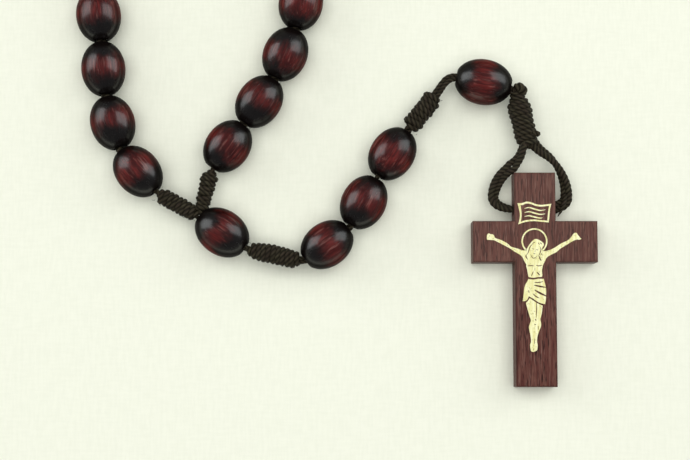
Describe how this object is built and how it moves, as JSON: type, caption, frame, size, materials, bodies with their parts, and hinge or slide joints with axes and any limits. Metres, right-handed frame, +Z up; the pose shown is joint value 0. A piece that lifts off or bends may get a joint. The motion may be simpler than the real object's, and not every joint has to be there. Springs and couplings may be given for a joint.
{
  "type": "rosary",
  "caption": "Rosary of oval dark wooden beads on knotted twisted cord, with barrel knots and a flat wooden cross carrying a stamped foil figure, lying in an open loop.",
  "frame": {"origin": "middle of the whole rosary's outline, on the surface it lies on", "axes": "+Z up from the surface, +Y from the pendant's end towards the far end of the loop, +X towards the cross"},
  "size_m": [0.1407, 0.3152, 0.008],
  "materials": {
    "bead_wood": "gloss lacquer over dark red-brown stain",
    "cross_wood": "satin stain over open grain",
    "cord": "twisted, lightly waxed",
    "foil": "pale gold stamped foil"
  },
  "bodies": {
    "loop_near_junction": {"cord_left_strand": "cord", "cord_right_strand": "cord", "junction_knot_left": "cord", "junction_knot_right": "cord"},
    "center_bead_cord": {"cord_in_center_bead": "cord"},
    "knot_a": {"knot_a": "cord"},
    "pendant_bead_1_cord": {"cord_in_pendant_bead_1": "cord"},
    "pendant_bead_2_cord": {"cord_in_pendant_bead_2": "cord"},
    "pendant_bead_3_cord": {"cord_in_pendant_bead_3": "cord"},
    "knot_b": {"knot_b": "cord"},
    "cord_stretch": {"cord_stretch": "cord"},
    "cross_bead_cord": {"cord_in_cross_bead": "cord"},
    "cross_knot": {"cross_knot": "cord", "cross_loop": "cord"},
    "cross": {"cross": "cross_wood", "foil_scroll": "foil", "foil_halo": "foil", "foil_figure": "foil"},
    "loop_left_side": {"cord_left_side": "cord", "interval_knots_left": "cord", "decade_2_beads_a": "bead_wood", "decade_2_beads_b": "bead_wood"},
    "loop_top": {"cord_top": "cord", "interval_knots_top": "cord", "decade_3_beads_a": "bead_wood", "decade_3_beads_b": "bead_wood"},
    "loop_right_side": {"cord_right_side": "cord", "interval_knots_right": "cord", "decade_4_beads_a": "bead_wood", "decade_4_beads_b": "bead_wood"},
    "center_bead": {"center_bead": "bead_wood"},
    "pendant_bead_1": {"pendant_bead_1": "bead_wood"},
    "pendant_bead_2": {"pendant_bead_2": "bead_wood"},
    "pendant_bead_3": {"pendant_bead_3": "bead_wood"},
    "cross_bead": {"cross_bead": "bead_wood"},
    "decade_1_bead_01": {"decade_1_bead_01": "bead_wood"},
    "decade_1_bead_02": {"decade_1_bead_02": "bead_wood"},
    "decade_1_bead_03": {"decade_1_bead_03": "bead_wood"},
    "decade_1_bead_04": {"decade_1_bead_04": "bead_wood"},
    "decade_1_bead_05": {"decade_1_bead_05": "bead_wood"},
    "decade_1_bead_06": {"decade_1_bead_06": "bead_wood"},
    "decade_1_bead_07": {"decade_1_bead_07": "bead_wood"},
    "decade_1_bead_08": {"decade_1_bead_08": "bead_wood"},
    "decade_1_bead_09": {"decade_1_bead_09": "bead_wood"},
    "decade_1_bead_10": {"decade_1_bead_10": "bead_wood"},
    "decade_5_bead_01": {"decade_5_bead_01": "bead_wood"},
    "decade_5_bead_02": {"decade_5_bead_02": "bead_wood"},
    "decade_5_bead_03": {"decade_5_bead_03": "bead_wood"},
    "decade_5_bead_04": {"decade_5_bead_04": "bead_wood"},
    "decade_5_bead_05": {"decade_5_bead_05": "bead_wood"},
    "decade_5_bead_06": {"decade_5_bead_06": "bead_wood"},
    "decade_5_bead_07": {"decade_5_bead_07": "bead_wood"},
    "decade_5_bead_08": {"decade_5_bead_08": "bead_wood"},
    "decade_5_bead_09": {"decade_5_bead_09": "bead_wood"},
    "decade_5_bead_10": {"decade_5_bead_10": "bead_wood"},
    "interval_bead_1": {"interval_bead_1": "bead_wood"},
    "interval_bead_2": {"interval_bead_2": "bead_wood"},
    "interval_bead_3": {"interval_bead_3": "bead_wood"},
    "interval_bead_4": {"interval_bead_4": "bead_wood"}
  },
  "joints": [
    {"name": "pendant_swing", "type": "hinge", "parent": "loop_near_junction", "child": "center_bead_cord", "pos_m": [-0.0022, -0.1266, 0.004], "axis": [0, 0, -1], "range_deg": [0, 65]},
    {"name": "knot_a_bend", "type": "hinge", "parent": "center_bead_cord", "child": "knot_a", "pos_m": [0.0061, -0.13245, 0.004], "axis": [0, 0, -1], "range_deg": [-3, 70]},
    {"name": "bead_1_bend", "type": "hinge", "parent": "knot_a", "child": "pendant_bead_1_cord", "pos_m": [0.0169, -0.1348, 0.004], "axis": [0, 0, -1], "range_deg": [-16, 88]},
    {"name": "bead_2_bend", "type": "hinge", "parent": "pendant_bead_1_cord", "child": "pendant_bead_2_cord", "pos_m": [0.0253, -0.1287, 0.004], "axis": [0, 0, -1], "range_deg": [-6, 58]},
    {"name": "bead_3_bend", "type": "hinge", "parent": "pendant_bead_2_cord", "child": "pendant_bead_3_cord", "pos_m": [0.0303, -0.1193, 0.004], "axis": [0, 0, -1], "range_deg": [-27, 21]},
    {"name": "knot_b_bend", "type": "hinge", "parent": "pendant_bead_3_cord", "child": "knot_b", "pos_m": [0.0358, -0.1108, 0.004], "axis": [0, 0, 1], "range_deg": [-34, 48]},
    {"name": "cord_stretch_bend", "type": "hinge", "parent": "knot_b", "child": "cord_stretch", "pos_m": [0.0414, -0.1037, 0.004], "axis": [0, 0, 1], "range_deg": [-20, 40]},
    {"name": "cross_bead_lift", "type": "hinge", "parent": "cord_stretch", "child": "cross_bead_cord", "pos_m": [0.0449, -0.10075, 0.004], "axis": [-0.1914, -0.9815, 0], "range_deg": [0, 60]},
    {"name": "cross_knot_bend", "type": "hinge", "parent": "cross_bead_cord", "child": "cross_knot", "pos_m": [0.0549, -0.1027, 0.004], "axis": [0, 0, 1], "range_deg": [0, 105]},
    {"name": "cross_swing", "type": "hinge", "parent": "cross_knot", "child": "cross", "pos_m": [0.059, -0.1253, 0.0025], "axis": [-1, 0, 0], "range_deg": [0, 100]},
    {"name": "loop_sway", "type": "hinge", "parent": "loop_near_junction", "child": "loop_left_side", "pos_m": [-0.0542, -0.0346, 0.004], "axis": [0, 0, 1], "range_deg": [-20, 20]},
    {"name": "loop_top_turn", "type": "hinge", "parent": "loop_left_side", "child": "loop_top", "pos_m": [-0.0542, 0.0964, 0.004], "axis": [0, 0, 1], "range_deg": [-20, 20]},
    {"name": "loop_right_turn", "type": "hinge", "parent": "loop_near_junction", "child": "loop_right_side", "pos_m": [0.0508, -0.0336, 0.004], "axis": [0, 0, 1], "range_deg": [-20, 20]},
    {"name": "center_bead_spin", "type": "hinge", "parent": "center_bead_cord", "child": "center_bead", "pos_m": [0.00195, -0.12953, 0.004], "axis": [0.8174, -0.5761, 0], "continuous": true},
    {"name": "pendant_bead_1_spin", "type": "hinge", "parent": "pendant_bead_1_cord", "child": "pendant_bead_1", "pos_m": [0.0211, -0.13175, 0.004], "axis": [0.8092, 0.5876, 0], "continuous": true},
    {"name": "pendant_bead_2_spin", "type": "hinge", "parent": "pendant_bead_2_cord", "child": "pendant_bead_2", "pos_m": [0.0278, -0.124, 0.004], "axis": [0.4696, 0.8829, 0], "continuous": true},
    {"name": "pendant_bead_3_spin", "type": "hinge", "parent": "pendant_bead_3_cord", "child": "pendant_bead_3", "pos_m": [0.03305, -0.11505, 0.004], "axis": [0.5433, 0.8396, 0], "continuous": true},
    {"name": "cross_bead_spin", "type": "hinge", "parent": "cross_bead_cord", "child": "cross_bead", "pos_m": [0.0499, -0.10172, 0.004], "axis": [0.9815, -0.1914, 0], "continuous": true},
    {"name": "decade_1_bead_01_spin", "type": "hinge", "parent": "loop_near_junction", "child": "decade_1_bead_01", "pos_m": [-0.01355, -0.11831, 0.004], "axis": [-0.6444, 0.7647, 0], "continuous": true},
    {"name": "decade_1_bead_02_spin", "type": "hinge", "parent": "loop_near_junction", "child": "decade_1_bead_02", "pos_m": [-0.0183, -0.10932, 0.004], "axis": [-0.2684, 0.9633, 0], "continuous": true},
    {"name": "decade_1_bead_03_spin", "type": "hinge", "parent": "loop_near_junction", "child": "decade_1_bead_03", "pos_m": [-0.02015, -0.09927, 0.004], "axis": [-0.0911, 0.9958, 0], "continuous": true},
    {"name": "decade_1_bead_04_spin", "type": "hinge", "parent": "loop_near_junction", "child": "decade_1_bead_04", "pos_m": [-0.02119, -0.08922, 0.004], "axis": [-0.1144, 0.9934, 0], "continuous": true},
    {"name": "decade_1_bead_05_spin", "type": "hinge", "parent": "loop_near_junction", "child": "decade_1_bead_05", "pos_m": [-0.02312, -0.07933, 0.004], "axis": [-0.2662, 0.9639, 0], "continuous": true},
    {"name": "decade_1_bead_06_spin", "type": "hinge", "parent": "loop_near_junction", "child": "decade_1_bead_06", "pos_m": [-0.02637, -0.06978, 0.004], "axis": [-0.3778, 0.9259, 0], "continuous": true},
    {"name": "decade_1_bead_07_spin", "type": "hinge", "parent": "loop_near_junction", "child": "decade_1_bead_07", "pos_m": [-0.03075, -0.06069, 0.004], "axis": [-0.4884, 0.8726, 0], "continuous": true},
    {"name": "decade_1_bead_08_spin", "type": "hinge", "parent": "loop_near_junction", "child": "decade_1_bead_08", "pos_m": [-0.03625, -0.05224, 0.004], "axis": [-0.6006, 0.7995, 0], "continuous": true},
    {"name": "decade_1_bead_09_spin", "type": "hinge", "parent": "loop_near_junction", "child": "decade_1_bead_09", "pos_m": [-0.04284, -0.04462, 0.004], "axis": [-0.7043, 0.7099, 0], "continuous": true},
    {"name": "decade_1_bead_10_spin", "type": "hinge", "parent": "loop_near_junction", "child": "decade_1_bead_10", "pos_m": [-0.0503, -0.03782, 0.004], "axis": [-0.7716, 0.6362, 0], "continuous": true},
    {"name": "decade_5_bead_01_spin", "type": "hinge", "parent": "loop_near_junction", "child": "decade_5_bead_01", "pos_m": [0.00286, -0.11367, 0.004], "axis": [0.5777, 0.8163, 0], "continuous": true},
    {"name": "decade_5_bead_02_spin", "type": "hinge", "parent": "loop_near_junction", "child": "decade_5_bead_02", "pos_m": [0.0086, -0.10538, 0.004], "axis": [0.5616, 0.8274, 0], "continuous": true},
    {"name": "decade_5_bead_03_spin", "type": "hinge", "parent": "loop_near_junction", "child": "decade_5_bead_03", "pos_m": [0.01336, -0.09654, 0.004], "axis": [0.3801, 0.9249, 0], "continuous": true},
    {"name": "decade_5_bead_04_spin", "type": "hinge", "parent": "loop_near_junction", "child": "decade_5_bead_04", "pos_m": [0.01621, -0.08691, 0.004], "axis": [0.1858, 0.9826, 0], "continuous": true},
    {"name": "decade_5_bead_05_spin", "type": "hinge", "parent": "loop_near_junction", "child": "decade_5_bead_05", "pos_m": [0.01822, -0.07701, 0.004], "axis": [0.2126, 0.9771, 0], "continuous": true},
    {"name": "decade_5_bead_06_spin", "type": "hinge", "parent": "loop_near_junction", "child": "decade_5_bead_06", "pos_m": [0.02123, -0.06742, 0.004], "axis": [0.3834, 0.9236, 0], "continuous": true},
    {"name": "decade_5_bead_07_spin", "type": "hinge", "parent": "loop_near_junction", "child": "decade_5_bead_07", "pos_m": [0.02596, -0.05857, 0.004], "axis": [0.5553, 0.8316, 0], "continuous": true},
    {"name": "decade_5_bead_08_spin", "type": "hinge", "parent": "loop_near_junction", "child": "decade_5_bead_08", "pos_m": [0.03227, -0.05075, 0.004], "axis": [0.6949, 0.7191, 0], "continuous": true},
    {"name": "decade_5_bead_09_spin", "type": "hinge", "parent": "loop_near_junction", "child": "decade_5_bead_09", "pos_m": [0.03951, -0.04371, 0.004], "axis": [0.7388, 0.6739, 0], "continuous": true},
    {"name": "decade_5_bead_10_spin", "type": "hinge", "parent": "loop_near_junction", "child": "decade_5_bead_10", "pos_m": [0.04702, -0.03695, 0.004], "axis": [0.7479, 0.6639, 0], "continuous": true},
    {"name": "interval_bead_1_spin", "type": "hinge", "parent": "loop_left_side", "child": "interval_bead_1", "pos_m": [-0.05932, -0.01904, 0.004], "axis": [-0.2876, 0.9577, 0], "continuous": true},
    {"name": "interval_bead_2_spin", "type": "hinge", "parent": "loop_top", "child": "interval_bead_2", "pos_m": [-0.04834, 0.11179, 0.004], "axis": [0.3669, 0.9303, 0], "continuous": true},
    {"name": "interval_bead_3_spin", "type": "hinge", "parent": "loop_top", "child": "interval_bead_3", "pos_m": [0.04479, 0.11273, 0.004], "axis": [0.3787, -0.9255, 0], "continuous": true},
    {"name": "interval_bead_4_spin", "type": "hinge", "parent": "loop_right_side", "child": "interval_bead_4", "pos_m": [0.05592, -0.01804, 0.004], "axis": [0.2876, 0.9577, 0], "continuous": true}
  ],
  "couplings": [
    {"joint": "loop_top_turn", "follows": "loop_sway", "ratio": -1},
    {"joint": "loop_right_turn", "follows": "loop_sway", "ratio": 1}
  ]
}
